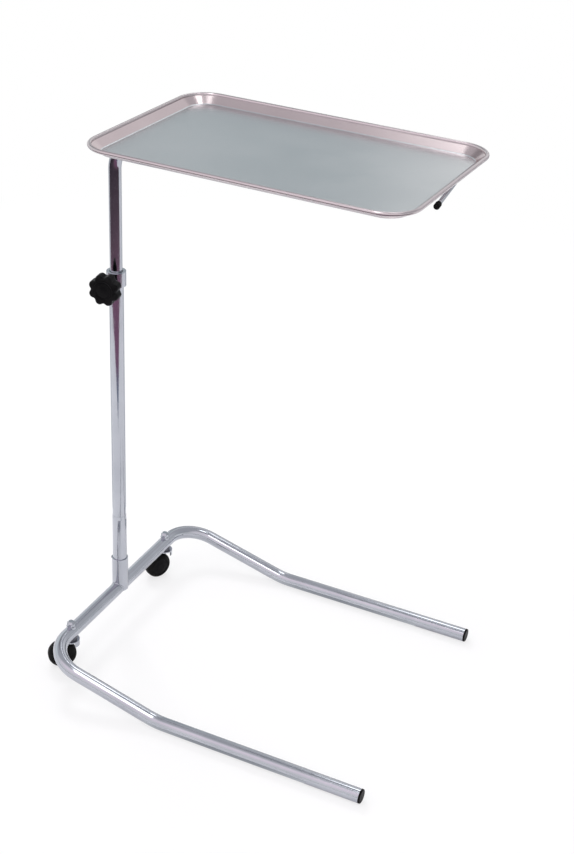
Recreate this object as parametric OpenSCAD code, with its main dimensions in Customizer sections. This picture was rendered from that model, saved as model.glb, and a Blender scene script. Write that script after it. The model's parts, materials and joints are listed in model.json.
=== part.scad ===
/* [Base] */
// Distance between the centrelines of the two legs
leg_spacing = 444; // [380:2:520]
// Distance from the post axis to the open end of each leg tube
leg_reach = 543; // [450:1:650]
// Outside diameter of the base tube
base_tube_d = 22.2; // [20:0.1:26]
// Wall of the base tube
base_tube_wall = 1.5; // [1:0.1:2.5]
// Centreline radius of the bend between the crossbar and a leg
corner_r = 57; // [45:1:65]
// Distance from the post axis to the knee, where a leg comes down to the floor
knee_x = 199; // [160:1:260]
// Centreline radius of the knee bend
knee_r = 110; // [60:1:150]
// Thickness of the flange on a tube's end plug
plug_flange_t = 3; // [2:0.5:5]
// Length of an end plug's shank inside its tube
plug_shank_l = 16; // [10:1:25]

/* [Post] */
// Outside diameter of the lower post
post_d = 22.2; // [20:0.1:26]
// Wall of the lower post
post_wall = 1.5; // [1:0.1:2.5]
// Length of the lower post above the socket's rim
post_h = 511; // [400:1:600]
// Height of the socket's rim above the crossbar's centreline
socket_h = 58; // [36:1:70]
// Wall of the socket
socket_wall = 2.2; // [1.2:0.05:3]
// Gap between the crossbar and the foot of the lower post
post_foot_gap = 7; // [4:0.5:12]
// Length of the sleeve that stands on the socket's rim
sleeve_l = 84; // [60:1:120]
// Wall of the sleeve
sleeve_wall = 0.5; // [0.4:0.1:1.5]
// Height of the cone at the sleeve's top
sleeve_cone_h = 6; // [3:0.5:10]
// Distance from the socket's rim down to its locking screw
lock_drop = 5; // [4.5:0.5:12]
// Shank diameter of the socket's locking screw
lock_screw_d = 4; // [3:0.5:6]
// Head diameter of the socket's locking screw
lock_head_d = 7.2; // [6.5:0.1:9]
// Height of the locking screw's head
lock_head_h = 2.2; // [1.6:0.1:3]

/* [Clamp] */
// Wall of the clamp collar
collar_wall = 3.9; // [3:0.1:6]
// Height of the clamp collar
collar_h = 23; // [20:1:36]
// Height of the collar above the lower post's top
collar_lip_h = 6; // [4:0.5:8]
// Width of the lip by which the collar hangs on the lower post
collar_lip_w = 0.7; // [0.5:0.1:1]
// Turn of the clamp about the post, as set
clamp_turn = 8; // [-45:1:45]
// Distance from the lower post's top down to the clamp stud
clamp_drop = 8; // [8:0.5:12]
// Diameter of the boss that takes the clamp stud
boss_d = 16; // [14:0.5:20]
// Length of the boss beyond the collar
boss_l = 11; // [8:0.5:16]
// Diameter of the clamp stud
stud_d = 8; // [6:0.5:9]
// Length of the clamp stud inside the knob
stud_grip_l = 18; // [12:1:21]
// Thickness of the pad at the stud's tip
clamp_pad_t = 1.8; // [1.2:0.1:2]
// Diameter of the clamp knob over its lobes
knob_d = 49; // [38:1:56]
// Thickness of the knob's lobed body
knob_t = 20; // [16:1:26]
// Number of lobes on the knob
knob_lobes = 8; // [5:1:10]
// Depth of the flutes between the lobes
flute_depth = 4; // [2.5:0.5:5]
// Radius of a flute
flute_r = 5.5; // [4:0.5:7]
// Edge radius of the knob
knob_edge_r = 4.5; // [2:0.5:6]
// Diameter of the knob's neck
knob_neck_d = 22; // [16:1:26]
// Length of the knob's neck
knob_neck_l = 4; // [3:0.5:8]
// Gap between the boss and the knob when clamped
knob_gap = 1.5; // [1:0.5:3]

/* [Mast] */
// Wall of the mast tube
mast_wall = 1.5; // [1:0.1:2.5]
// Height of the arm's centreline above the lower post's top, as set
mast_rise = 221; // [80:1:480]
// Length from the arm's centreline down to the mast's lower end
mast_l = 600; // [540:1:640]
// Centreline radius of the bend between mast and arm
mast_bend_r = 55; // [40:1:70]
// Distance from the post axis to the arm tube's end
arm_reach = 400; // [320:1:460]
// Turn of the mast about the post, as set
mast_turn = -1.4; // [-180:0.1:180]
// Height of the glide plug's head below the mast's end
glide_head_h = 8; // [5:0.5:12]

/* [Cradle] */
// Diameter of the cradle's rod
rod_d = 6.35; // [5:0.05:8]
// Distance from the arm to the cradle's long rod
cradle_side = 62; // [56:1:80]
// Centreline radius of the cradle's corners
cradle_corner_r = 20; // [14:1:26]
// Distance from the tray's near end to the cradle's near bar
cradle_near = 36; // [30:1:60]
// Distance from the tray's far end to the far corner's start
cradle_far = 39; // [36:1:60]
// Angle of the far corner's bend
far_bend = 82; // [75:1:90]
// Length of the far bar beyond its bend
far_bar_l = 92; // [50:1:110]
// Distance from the arm tube's end back to the cradle's brace
brace_back = 18; // [12:1:60]
// Depth of the seat cut into the arm for a cradle rod
rod_seat = 0.8; // [0.4:0.1:1]
// Diameter of the caps on the free ends of the rods
cap_d = 8.5; // [8:0.5:13]
// Length of a cap
cap_l = 12; // [10:1:20]
// Length of a rod's end inside its cap
cap_grip = 9; // [6:0.5:11]
// Diameter of a cradle pad
pad_d = 12; // [11:0.5:16]
// Distance from the arm to a cradle pad
pad_side = 34; // [22:1:38]
// Rubber between a cradle rod and the tray
pad_over = 3.5; // [1:0.25:5]
// Rubber below a cradle rod
pad_under = 2; // [1:0.25:4]

/* [Tray] */
// Length of the tray over its rim
tray_l = 486; // [440:1:540]
// Width of the tray over its rim
tray_w = 321; // [280:1:360]
// Height of the tray from its underside to the top of its rim
tray_h = 14.5; // [12:0.5:26]
// Corner radius of the tray over its rim
tray_corner_r = 48; // [36:1:60]
// Distance from the post axis to the tray's near end
tray_gap = 39; // [25:1:60]
// Thickness of the tray's sheet
tray_sheet = 1; // [0.7:0.1:1.5]
// Diameter of the bead round the rim
bead_d = 6; // [4:0.5:8]
// Distance that the wall leans out between the floor and the bead
tray_flare = 15; // [5:0.5:16]
// Outside radius of the fold between floor and wall
tray_fold_r = 5; // [3:0.5:7]

/* [Casters] */
// Diameter of a wheel
wheel_d = 46; // [40:0.5:60]
// Width of a tyre
wheel_w = 25; // [22:0.5:30]
// Thickness of a tyre
tyre_t = 7; // [5:0.5:9]
// Shoulder radius of a tyre
tyre_round = 10; // [4:0.5:11]
// Diameter of a wheel's axle
axle_d = 6; // [5:0.5:8]
// Distance from the swivel axis to the axle
caster_trail = 16; // [14:0.5:26]
// Metal round the axle's hole in a fork's leg
axle_eye_wall = 4.5; // [3:0.5:6]
// Diameter of an axle's head and width across the flats of its nut
axle_head_d = 10; // [9:0.5:12]
// Height of an axle's head
axle_head_h = 2.5; // [2:0.1:3.5]
// Height of an axle's nut
axle_nut_h = 4; // [3:0.1:6]
// Wall of a hub's boss round its axle
hub_boss_wall = 4; // [2:0.5:5]
// Width of a hub's web
hub_web_w = 8; // [5:0.5:12]
// Thickness of a hub's rim under the tyre
hub_rim_t = 3; // [2:0.5:4]
// Thickness of a hub's cap at its edge
hub_cap_t = 2; // [1.5:0.1:3]
// Height of a hub cap's dome
hub_dome_h = 1.5; // [1:0.1:3]
// Width of the shoulder on which a hub's cap sits
cap_seat_w = 1.5; // [1:0.1:2]
// Direction in which the left wheel trails, as parked
park_left = -115; // [-180:1:180]
// Direction in which the right wheel trails, as parked
park_right = -140; // [-180:1:180]
// Distance from the corner bend back to a caster's stem
caster_inset = 15; // [12:1:40]
// Sheet thickness of a fork
fork_t = 2; // [1.5:0.1:3]
// Diameter of a fork's crown
crown_d = 26; // [22:0.5:30]
// Depth of the skirt that hangs from the front of a fork's crown
skirt_h = 8; // [4:0.5:10]
// Distance from the stem's axis forward to the skirt's ends
skirt_front = 4; // [3:0.5:6]
// Distance that a fork's leg reaches ahead of its stem at its root
leg_root_front = 13; // [8:0.5:16]
// Distance that a fork's leg reaches behind its stem at its root
leg_root_back = 8; // [4:0.5:11]
// Gap between a tyre and a fork's leg
fork_side_gap = 0.8; // [0.6:0.1:2]
// Gap between a tyre and a fork's crown
crown_gap = 1.2; // [1:0.1:4]
// Diameter of a caster's stem
stem_d = 8; // [6:0.5:10]
// Diameter of the head that holds a fork on its stem
stem_head_d = 13; // [11:0.5:15]
// Height of the head that holds a fork on its stem
stem_head_h = 1.6; // [1.2:0.1:2]
// Diameter of a swivel race
race_d = 18; // [15:0.5:19]
// Height of a swivel race below the crossbar
race_h = 1.9; // [1.5:0.1:8]
// Width across the flats of a stem's cap nut
nut_af = 13; // [12:0.5:15]
// Height of a cap nut's flats
nut_h = 5; // [4:0.5:7]
// Height of a cap nut's crown above its flats
nut_crown_h = 3.5; // [3:0.5:6]
// Length of a stem inside its nut's crown
stem_grip = 1; // [0.5:0.5:1.5]
// Diameter of a saddle washer
washer_d = 15; // [14:0.5:19]
// Height of a saddle washer above the crossbar
washer_rise = 1.5; // [1:0.1:3]

/* [Fits] */
// Radial clearance of the mast in the lower post
mast_clear = 0.075; // [0.03:0.005:0.1]
// Radial clearance of a turning fit
turn_clear = 0.05; // [0.02:0.01:0.1]
// Radial clearance of a fixed fit
fixed_clear = 0.05; // [0.02:0.01:0.1]
// Gap between faces that turn past each other
face_gap = 0.3; // [0.2:0.05:0.5]

/* [Hidden] */
$fn = 96;

// Sides of the stand, seen from behind the post
left = 1;
right = -1;
// Overshoot of a cutting shape
cut = 1;
// Flats that make up the fold of the tray's sheet
fold_steps = 4;

// Colours
chrome = [0.78, 0.79, 0.82];
steel = [0.66, 0.68, 0.70];
black_plastic = [0.05, 0.05, 0.05];
black_rubber = [0.03, 0.03, 0.03];
dark_steel = [0.22, 0.22, 0.25];

// Casters, from the floor up to the crossbar
wheel_r = wheel_d / 2;
hub_r = wheel_r - tyre_t;
crown_z = wheel_d + crown_gap;
crown_top_z = crown_z + fork_t;
race_z = crown_top_z + face_gap;
base_r = base_tube_d / 2;
crossbar_z = race_z + race_h + base_r;
fork_leg_in = wheel_w / 2 + fork_side_gap;
fork_leg_out = fork_leg_in + fork_t;
axle_eye_r = axle_d / 2 + axle_eye_wall;
hub_boss_r = axle_d / 2 + hub_boss_wall;
hub_rim_w = wheel_w - 2 * fork_side_gap;
hub_cap_r = hub_r - hub_rim_t;
axle_head_z = hub_rim_w / 2 - hub_cap_t - 2 * face_gap - axle_head_h;
hub_boss_out = axle_head_z - face_gap;
washer_top_z = crossbar_z + base_r + washer_rise;
stem_top_z = washer_top_z + nut_h + stem_grip;
caster_y = leg_spacing / 2 - corner_r - caster_inset;

// Base tube
half_spacing = leg_spacing / 2;
leg_slope = atan2(crossbar_z - base_r, knee_x);
slope_l = (crossbar_z - base_r) / sin(leg_slope);
knee_tangent = knee_r * tan(leg_slope / 2);
crossbar_half = half_spacing - corner_r;
slope_straight = slope_l - knee_tangent - corner_r;
flat_start_x = knee_x + knee_tangent;

// Post
socket_top_z = crossbar_z + socket_h;
socket_bore_d = post_d + 2 * fixed_clear;
socket_d = socket_bore_d + 2 * socket_wall;
socket_skirt = base_r / 3;
post_foot_z = crossbar_z + base_r + post_foot_gap;
post_top_z = socket_top_z + post_h;
post_bore_d = post_d - 2 * post_wall;
lock_screw_z = socket_top_z - lock_drop;
lock_key_af = lock_head_d / 3;
lock_tip_r = post_bore_d / 2 + face_gap;

// Clamp
collar_bore_d = post_d + 2 * fixed_clear;
collar_d = collar_bore_d + 2 * collar_wall;
collar_top_z = post_top_z + collar_lip_h;
collar_z = collar_top_z - collar_h;
bush_seat_d = collar_bore_d - 2 * collar_lip_w;
clamp_z = post_top_z - clamp_drop;
collar_bore_z = min(collar_z, clamp_z - boss_d / 2) - cut;
boss_end = collar_d / 2 + boss_l;
knob_back = boss_end + knob_gap;
knob_front = knob_back + knob_neck_l + knob_t;
knob_rear_x = min(0, knob_front * sin(clamp_turn)) - knob_d / 2 * cos(clamp_turn);

// Mast
mast_d = post_bore_d - 2 * mast_clear;
mast_bore_d = mast_d - 2 * mast_wall;
arm_z = post_top_z + mast_rise;
mast_foot_z = arm_z - mast_l;
clamp_pad_r = stud_d / 2 - face_gap;
clamp_pad_y = mast_d / 2 + face_gap;
stud_tip_y = clamp_pad_y + clamp_pad_t;

// Cradle and tray
rod_z = arm_z + mast_d / 2 - rod_seat + rod_d / 2;
tray_z = rod_z + rod_d / 2 + pad_over;
near_bar_x = tray_gap + cradle_near;
long_rod_l = tray_l - cradle_near - cradle_far - cradle_corner_r;
near_bar_l = 2 * cradle_side - cradle_corner_r;
brace_x = arm_reach - brace_back;
tray_centre_x = tray_gap + tray_l / 2;
corner_x = tray_l / 2 - tray_corner_r;
corner_y = tray_w / 2 - tray_corner_r;
bead_q = tray_corner_r - bead_d / 2;
bead_z = tray_h - bead_d / 2;
wall_lean = atan2(bead_z, tray_flare);
fold_tangent = tray_fold_r * tan(wall_lean / 2);
fold_q = bead_q - tray_flare - fold_tangent;
wall_l = norm([tray_flare, bead_z]) - fold_tangent;

// Place of the post axis, so that the origin is under the middle of the stand
function park_of(side) = side == left ? park_left : park_right;
function tyre_rear_x(park) = caster_trail * cos(park) - (wheel_r - tyre_round) * abs(cos(park))
  - (wheel_w / 2 - tyre_round) * abs(sin(park)) - tyre_round;
tray_far_x = tray_centre_x * cos(mast_turn) + corner_x * abs(cos(mast_turn))
  + corner_y * abs(sin(mast_turn)) + tray_corner_r;
rear_x = min(tyre_rear_x(park_left), tyre_rear_x(park_right), knob_rear_x, -collar_d / 2);
front_x = max(leg_reach + plug_flange_t, tray_far_x);
post_x = -(rear_x + front_x) / 2;

// Frames in which the sub-parts are drawn
module stand_frame() {
  translate([post_x, 0, 0]) children();
}

module mast_frame() {
  stand_frame() rotate([0, 0, mast_turn]) children();
}

module stem_frame(side) {
  stand_frame() translate([0, side * caster_y, 0]) children();
}

module fork_frame(side) {
  stem_frame(side) rotate([0, 0, park_of(side)]) children();
}

module axle_frame(side) {
  fork_frame(side) translate([caster_trail, 0, wheel_r]) rotate([90, 0, 0]) children();
}

module clamp_frame() {
  stand_frame() rotate([0, 0, clamp_turn]) children();
}

module stud_frame() {
  clamp_frame() translate([0, 0, clamp_z]) rotate([90, 0, 0]) children();
}

module tray_frame() {
  mast_frame() translate([tray_centre_x, 0, tray_z]) children();
}

// Shapes that repeat
module ring(d, wall) {
  difference() {
    circle(d = d);
    circle(d = d - 2 * wall);
  }
}

module straight_tube(d, wall, l) {
  linear_extrude(height = l) ring(d, wall);
}

module bent_tube(d, wall, r, turn) {
  rotate_extrude(angle = turn) translate([r, 0]) ring(d, wall);
}

module rounded_disc(r, t, edge_r) {
  rotate_extrude() {
    square([r - edge_r, t]);
    translate([0, edge_r]) square([r, t - 2 * edge_r]);
    translate([r - edge_r, edge_r]) circle(r = edge_r);
    translate([r - edge_r, t - edge_r]) circle(r = edge_r);
  }
}

// Plug that closes a tube's end, with the flange above the tube's end at z = 0
module end_plug(d, wall) {
  flange_edge_r = plug_flange_t / 2;
  rotate_extrude() {
    square([d / 2 - flange_edge_r, plug_flange_t]);
    square([d / 2, plug_flange_t - flange_edge_r]);
    intersection() {
      translate([d / 2 - flange_edge_r, plug_flange_t - flange_edge_r]) circle(r = flange_edge_r);
      square([d / 2, plug_flange_t]);
    }
  }
  translate([0, 0, -plug_shank_l]) cylinder(d = d - 2 * wall - 2 * fixed_clear, h = plug_shank_l);
}

module crossbar_cut() {
  translate([0, 0, crossbar_z]) rotate([90, 0, 0])
    cylinder(d = base_tube_d, h = leg_spacing, center = true);
}

// Base
module crossbar_tube() {
  color(chrome) stand_frame() difference() {
    translate([0, -crossbar_half, crossbar_z]) rotate([-90, 0, 0])
      straight_tube(base_tube_d, base_tube_wall, 2 * crossbar_half);
    for (side = [left, right])
      translate([0, side * caster_y, crossbar_z - base_tube_d])
        cylinder(d = stem_d + 2 * fixed_clear, h = 2 * base_tube_d);
  }
}

module leg_bow(side) {
  color(chrome) stand_frame() mirror([0, side == left ? 0 : 1, 0])
    translate([0, crossbar_half, crossbar_z]) rotate([0, 180 + leg_slope, 0]) {
      translate([-corner_r, 0, 0]) bent_tube(base_tube_d, base_tube_wall, corner_r, 90);
      translate([-corner_r, corner_r, 0]) rotate([0, -90, 0])
        straight_tube(base_tube_d, base_tube_wall, slope_straight);
    }
}

module leg_tube(side) {
  color(chrome) stand_frame() translate([flat_start_x, side * half_spacing, base_r]) {
    rotate([0, 90, 0]) straight_tube(base_tube_d, base_tube_wall, leg_reach - flat_start_x);
    translate([0, 0, knee_r]) rotate([-90, 0, 0]) rotate([0, 0, 90])
      bent_tube(base_tube_d, base_tube_wall, knee_r, leg_slope);
  }
}

module leg_plug(side) {
  color(black_plastic) stand_frame() translate([leg_reach, side * half_spacing, base_r])
    rotate([0, 90, 0]) end_plug(base_tube_d, base_tube_wall);
}

// Post
module post_socket() {
  color(chrome) stand_frame() difference() {
    translate([0, 0, crossbar_z - socket_skirt])
      straight_tube(socket_d, socket_wall, socket_h + socket_skirt);
    crossbar_cut();
    translate([0, 0, lock_screw_z]) rotate([0, -90, 0])
      cylinder(d = lock_screw_d + 2 * fixed_clear, h = socket_d);
  }
}

module socket_screw() {
  color(dark_steel) stand_frame() translate([0, 0, lock_screw_z]) rotate([0, -90, 0]) {
    translate([0, 0, lock_tip_r]) cylinder(d = lock_screw_d, h = socket_d / 2 - lock_tip_r);
    difference() {
      translate([0, 0, socket_d / 2]) cylinder(d1 = lock_head_d, d2 = lock_head_d - lock_head_h, h = lock_head_h);
      translate([0, 0, socket_d / 2 + lock_head_h / 2])
        cylinder(d = lock_key_af / cos(30), h = lock_head_h, $fn = 6);
    }
  }
}

module post_sleeve() {
  sleeve_bore_r = post_d / 2 + fixed_clear;
  sleeve_r = sleeve_bore_r + sleeve_wall;
  color(chrome) stand_frame() translate([0, 0, socket_top_z]) rotate_extrude()
    polygon([
      [sleeve_bore_r, 0], [sleeve_r, 0], [sleeve_r, sleeve_l - sleeve_cone_h],
      [sleeve_bore_r + sleeve_wall / 4, sleeve_l], [sleeve_bore_r, sleeve_l]
    ]);
}

module lower_post() {
  color(chrome) difference() {
    stand_frame() translate([0, 0, post_foot_z]) straight_tube(post_d, post_wall, post_top_z - post_foot_z);
    stand_frame() translate([0, 0, lock_screw_z]) rotate([0, -90, 0])
      cylinder(d = lock_screw_d + 2 * fixed_clear, h = post_d);
    stud_frame() cylinder(d = stud_d + 2 * turn_clear, h = post_d);
  }
}

// Clamp
module clamp_collar() {
  color(chrome) clamp_frame() difference() {
    union() {
      translate([0, 0, collar_z]) cylinder(d = collar_d, h = collar_h);
      translate([0, 0, clamp_z]) rotate([90, 0, 0]) cylinder(d = boss_d, h = boss_end);
    }
    translate([0, 0, collar_bore_z]) cylinder(d = collar_bore_d, h = post_top_z - collar_bore_z);
    translate([0, 0, post_top_z - cut]) cylinder(d = bush_seat_d, h = collar_lip_h + 2 * cut);
    translate([0, 0, clamp_z]) rotate([90, 0, 0]) cylinder(d = stud_d + 2 * turn_clear, h = boss_end + cut);
  }
}

module collar_bush() {
  bush_d = bush_seat_d - 2 * fixed_clear;
  bush_wall = (bush_d - mast_d) / 2 - turn_clear;
  color(black_plastic) stand_frame() translate([0, 0, post_top_z])
    straight_tube(bush_d, bush_wall, collar_lip_h);
}

module clamp_pad() {
  color(black_plastic) stud_frame() translate([0, 0, clamp_pad_y])
    cylinder(r = clamp_pad_r, h = clamp_pad_t);
}

module knob_stud() {
  color(steel) stud_frame() translate([0, 0, stud_tip_y])
    cylinder(d = stud_d, h = knob_back + stud_grip_l - stud_tip_y);
}

module clamp_knob() {
  color(black_plastic) stud_frame() translate([0, 0, knob_back]) difference() {
    union() {
      cylinder(d = knob_neck_d, h = knob_neck_l + knob_edge_r);
      translate([0, 0, knob_neck_l]) rounded_disc(knob_d / 2, knob_t, knob_edge_r);
    }
    for (lobe = [1:knob_lobes])
      rotate([0, 0, lobe * 360 / knob_lobes])
        translate([knob_d / 2 + flute_r - flute_depth, 0, knob_neck_l - cut])
          cylinder(r = flute_r, h = knob_t + 2 * cut);
    translate([0, 0, -cut]) cylinder(d = stud_d + 2 * fixed_clear, h = stud_grip_l + cut);
  }
}

// Mast
module glide_plug() {
  color(black_plastic) stand_frame() translate([0, 0, mast_foot_z]) {
    translate([0, 0, -glide_head_h]) cylinder(d = post_bore_d - 2 * mast_clear, h = glide_head_h);
    cylinder(d = mast_bore_d - 2 * turn_clear, h = plug_shank_l);
  }
}

module upper_post() {
  color(chrome) mast_frame() difference() {
    union() {
      translate([0, 0, mast_foot_z])
        straight_tube(mast_d, mast_wall, mast_l - mast_bend_r);
      translate([mast_bend_r, 0, arm_z - mast_bend_r]) rotate([90, 0, 0]) rotate([0, 0, 90])
        bent_tube(mast_d, mast_wall, mast_bend_r, 90);
      translate([mast_bend_r, 0, arm_z]) rotate([0, 90, 0])
        straight_tube(mast_d, mast_wall, arm_reach - mast_bend_r);
    }
    for (bar_x = [near_bar_x, brace_x])
      translate([bar_x, 0, rod_z]) rotate([90, 0, 0]) cylinder(d = rod_d, h = 2 * cradle_side, center = true);
  }
}

module arm_plug() {
  color(black_plastic) mast_frame() translate([arm_reach, 0, arm_z]) rotate([0, 90, 0])
    end_plug(mast_d, mast_wall);
}

// Cradle
module far_corner_frame() {
  mast_frame() translate([near_bar_x + cradle_corner_r + long_rod_l, cradle_side - cradle_corner_r, rod_z])
    children();
}

module cradle_rod() {
  color(chrome) {
    mast_frame() translate([near_bar_x, -cradle_side, rod_z]) {
      rotate([-90, 0, 0]) cylinder(d = rod_d, h = near_bar_l);
      translate([cradle_corner_r, near_bar_l, 0]) rotate([0, 0, 90]) bent_rod(90);
      translate([cradle_corner_r, 2 * cradle_side, 0]) rotate([0, 90, 0]) cylinder(d = rod_d, h = long_rod_l);
    }
    far_corner_frame() rotate([0, 0, 90]) mirror([0, 1, 0]) bent_rod(far_bend);
  }
}

module far_bar_frame() {
  far_corner_frame() rotate([0, 0, 90 - far_bend]) translate([cradle_corner_r, 0, 0]) rotate([90, 0, 0])
    children();
}

module cradle_far_bar() {
  color(chrome) far_bar_frame() cylinder(d = rod_d, h = far_bar_l);
}

module bent_rod(turn) {
  rotate_extrude(angle = turn) translate([cradle_corner_r, 0]) circle(d = rod_d);
}

module cradle_brace() {
  color(chrome) mast_frame() difference() {
    translate([brace_x, -cradle_side, rod_z]) rotate([-90, 0, 0]) cylinder(d = rod_d, h = 2 * cradle_side);
    translate([brace_x, cradle_side, rod_z]) rotate([0, 90, 0]) cylinder(d = rod_d, h = 2 * rod_d, center = true);
  }
}

// Cap on a rod's free end at the origin, with the rod coming from below
module rod_cap() {
  color(black_rubber) translate([0, 0, -cap_grip]) difference() {
    rounded_disc(cap_d / 2, cap_l, (cap_d - rod_d) / 3);
    translate([0, 0, -cut]) cylinder(d = rod_d, h = cut + cap_grip);
  }
}

module cradle_cap_front(bar_x) {
  mast_frame() translate([bar_x, -cradle_side, rod_z]) rotate([90, 0, 0]) rod_cap();
}

module cradle_cap_far() {
  far_bar_frame() translate([0, 0, far_bar_l]) rod_cap();
}

module cradle_pad(bar_x, side) {
  color(black_rubber) mast_frame() translate([bar_x, side * pad_side, rod_z]) difference() {
    translate([0, 0, -rod_d / 2 - pad_under]) cylinder(d = pad_d, h = pad_under + rod_d + pad_over);
    rotate([90, 0, 0]) cylinder(d = rod_d, h = 2 * pad_d, center = true);
  }
}

// Tray
module rim_profile() {
  fold_centre = [fold_q, tray_fold_r];
  fold_rays = [for (step = [0:fold_steps]) let (turn = step * wall_lean / fold_steps) [sin(turn), -cos(turn)]];
  outside = [for (ray = fold_rays) fold_centre + tray_fold_r * ray];
  inside = [for (ray = fold_rays) fold_centre + (tray_fold_r - tray_sheet) * ray];
  wall_run = wall_l * [cos(wall_lean), sin(wall_lean)];
  polygon(concat(
    outside,
    [outside[fold_steps] + wall_run, inside[fold_steps] + wall_run],
    [for (step = [fold_steps:-1:0]) inside[step]]
  ));
  translate([bead_q, bead_z]) circle(d = bead_d);
}

module tray() {
  color(steel) tray_frame() {
    linear_extrude(height = tray_sheet) {
      square([2 * corner_x, 2 * (corner_y + fold_q)], center = true);
      square([2 * (corner_x + fold_q), 2 * corner_y], center = true);
      for (x = [-corner_x, corner_x])
        for (y = [-corner_y, corner_y])
          translate([x, y]) circle(r = fold_q);
    }
    for (turn = [0, 180]) rotate([0, 0, turn]) {
      translate([corner_x, 0, 0]) rotate([90, 0, 0])
        linear_extrude(height = 2 * corner_y, center = true) rim_profile();
      translate([0, corner_y, 0]) rotate([0, 0, 90]) rotate([90, 0, 0])
        linear_extrude(height = 2 * corner_x, center = true) rim_profile();
      translate([corner_x, corner_y, 0]) rotate_extrude(angle = 90) rim_profile();
      translate([-corner_x, corner_y, 0]) rotate([0, 0, 90]) rotate_extrude(angle = 90) rim_profile();
    }
  }
}

// Casters
module caster_washer(side) {
  color(chrome) stem_frame(side) difference() {
    translate([0, 0, crossbar_z])
      straight_tube(washer_d, (washer_d - stem_d) / 2 - fixed_clear, base_r + washer_rise);
    crossbar_cut();
  }
}

module caster_nut(side) {
  color(steel) stem_frame(side) translate([0, 0, washer_top_z]) difference() {
    union() {
      cylinder(d = nut_af / cos(30), h = nut_h, $fn = 6);
      translate([0, 0, nut_h]) cylinder(d1 = nut_af, d2 = stem_d, h = nut_crown_h);
    }
    translate([0, 0, -cut]) cylinder(d = stem_d + 2 * fixed_clear, h = cut + nut_h + stem_grip);
  }
}

module caster_stem(side) {
  color(steel) stem_frame(side) {
    translate([0, 0, crown_z - face_gap]) cylinder(d = stem_d, h = stem_top_z - crown_z + face_gap);
    translate([0, 0, crown_z - face_gap - stem_head_h]) cylinder(d = stem_head_d, h = stem_head_h);
  }
}

module caster_race(side) {
  color(dark_steel) stem_frame(side) difference() {
    translate([0, 0, race_z])
      straight_tube(race_d, (race_d - stem_d) / 2 - fixed_clear, crossbar_z - race_z);
    crossbar_cut();
  }
}

module caster_fork(side) {
  color(chrome) fork_frame(side) difference() {
    union() {
      translate([0, 0, crown_z]) linear_extrude(height = fork_t) {
        circle(d = crown_d);
        translate([-leg_root_back, -fork_leg_out]) square([leg_root_back + leg_root_front, fork_leg_out]);
      }
      translate([0, 0, crown_z - skirt_h]) linear_extrude(height = skirt_h) intersection() {
        ring(crown_d, fork_t);
        translate([-crown_d, -crown_d / 2]) square([crown_d - skirt_front, crown_d]);
      }
      translate([0, -fork_leg_in, 0]) rotate([90, 0, 0]) linear_extrude(height = fork_t) {
        polygon([
          [-leg_root_back, crown_top_z], [caster_trail - axle_eye_r, wheel_r],
          [caster_trail + axle_eye_r, wheel_r], [leg_root_front, crown_top_z]
        ]);
        translate([caster_trail, wheel_r]) circle(r = axle_eye_r);
      }
    }
    translate([0, 0, crown_z - cut]) cylinder(d = stem_d + 2 * turn_clear, h = fork_t + 2 * cut);
    translate([caster_trail, 0, wheel_r]) rotate([90, 0, 0])
      cylinder(d = axle_d + 2 * fixed_clear, h = fork_leg_out + cut);
  }
}

// Axle with its head inside the hub, a shoulder on the fork's leg and its end in the nut
module caster_axle(side) {
  shoulder_h = fork_side_gap - face_gap;
  color(steel) axle_frame(side) {
    translate([0, 0, -axle_head_z]) cylinder(d = axle_d, h = axle_head_z + fork_leg_out + axle_nut_h);
    translate([0, 0, -axle_head_z - axle_head_h]) cylinder(d = axle_head_d, h = axle_head_h);
    translate([0, 0, fork_leg_in - shoulder_h]) cylinder(d = axle_head_d, h = shoulder_h);
  }
}

module caster_axle_nut(side) {
  color(steel) axle_frame(side) translate([0, 0, fork_leg_out]) difference() {
    cylinder(d = axle_head_d / cos(30), h = axle_nut_h, $fn = 6);
    translate([0, 0, -cut]) cylinder(d = axle_d + 2 * fixed_clear, h = axle_nut_h + 2 * cut);
  }
}

module caster_hub(side) {
  bore_r = axle_d / 2 + turn_clear;
  seat_l = (hub_rim_w - hub_web_w) / 2 - hub_cap_t;
  color(black_plastic) axle_frame(side) rotate_extrude() {
    translate([bore_r, -hub_boss_out]) square([hub_boss_r - bore_r, hub_boss_out + wheel_w / 2]);
    translate([bore_r, -hub_web_w / 2]) square([hub_r - bore_r, hub_web_w]);
    translate([hub_cap_r, -hub_rim_w / 2]) square([hub_rim_t, hub_rim_w]);
    translate([hub_cap_r - cap_seat_w, -hub_web_w / 2 - seat_l]) square([cap_seat_w + hub_rim_t, seat_l]);
  }
}

module caster_hub_cap(side) {
  cap_r = hub_cap_r - fixed_clear;
  color(black_plastic) axle_frame(side) translate([0, 0, hub_cap_t - hub_rim_w / 2]) rotate([180, 0, 0]) {
    cylinder(r = cap_r, h = hub_cap_t);
    translate([0, 0, hub_cap_t]) cylinder(r1 = cap_r, r2 = cap_r / 2, h = hub_dome_h);
  }
}

module caster_tyre(side) {
  shoulder_y = wheel_w / 2 - tyre_round;
  color(black_rubber) axle_frame(side) rotate_extrude() intersection() {
    translate([hub_r, -wheel_w / 2]) square([tyre_t, wheel_w]);
    union() {
      translate([0, -wheel_w / 2]) square([wheel_r - tyre_round, wheel_w]);
      translate([0, -shoulder_y]) square([wheel_r, 2 * shoulder_y]);
      for (y = [-shoulder_y, shoulder_y])
        translate([wheel_r - tyre_round, y]) circle(r = tyre_round);
    }
  }
}

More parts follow.
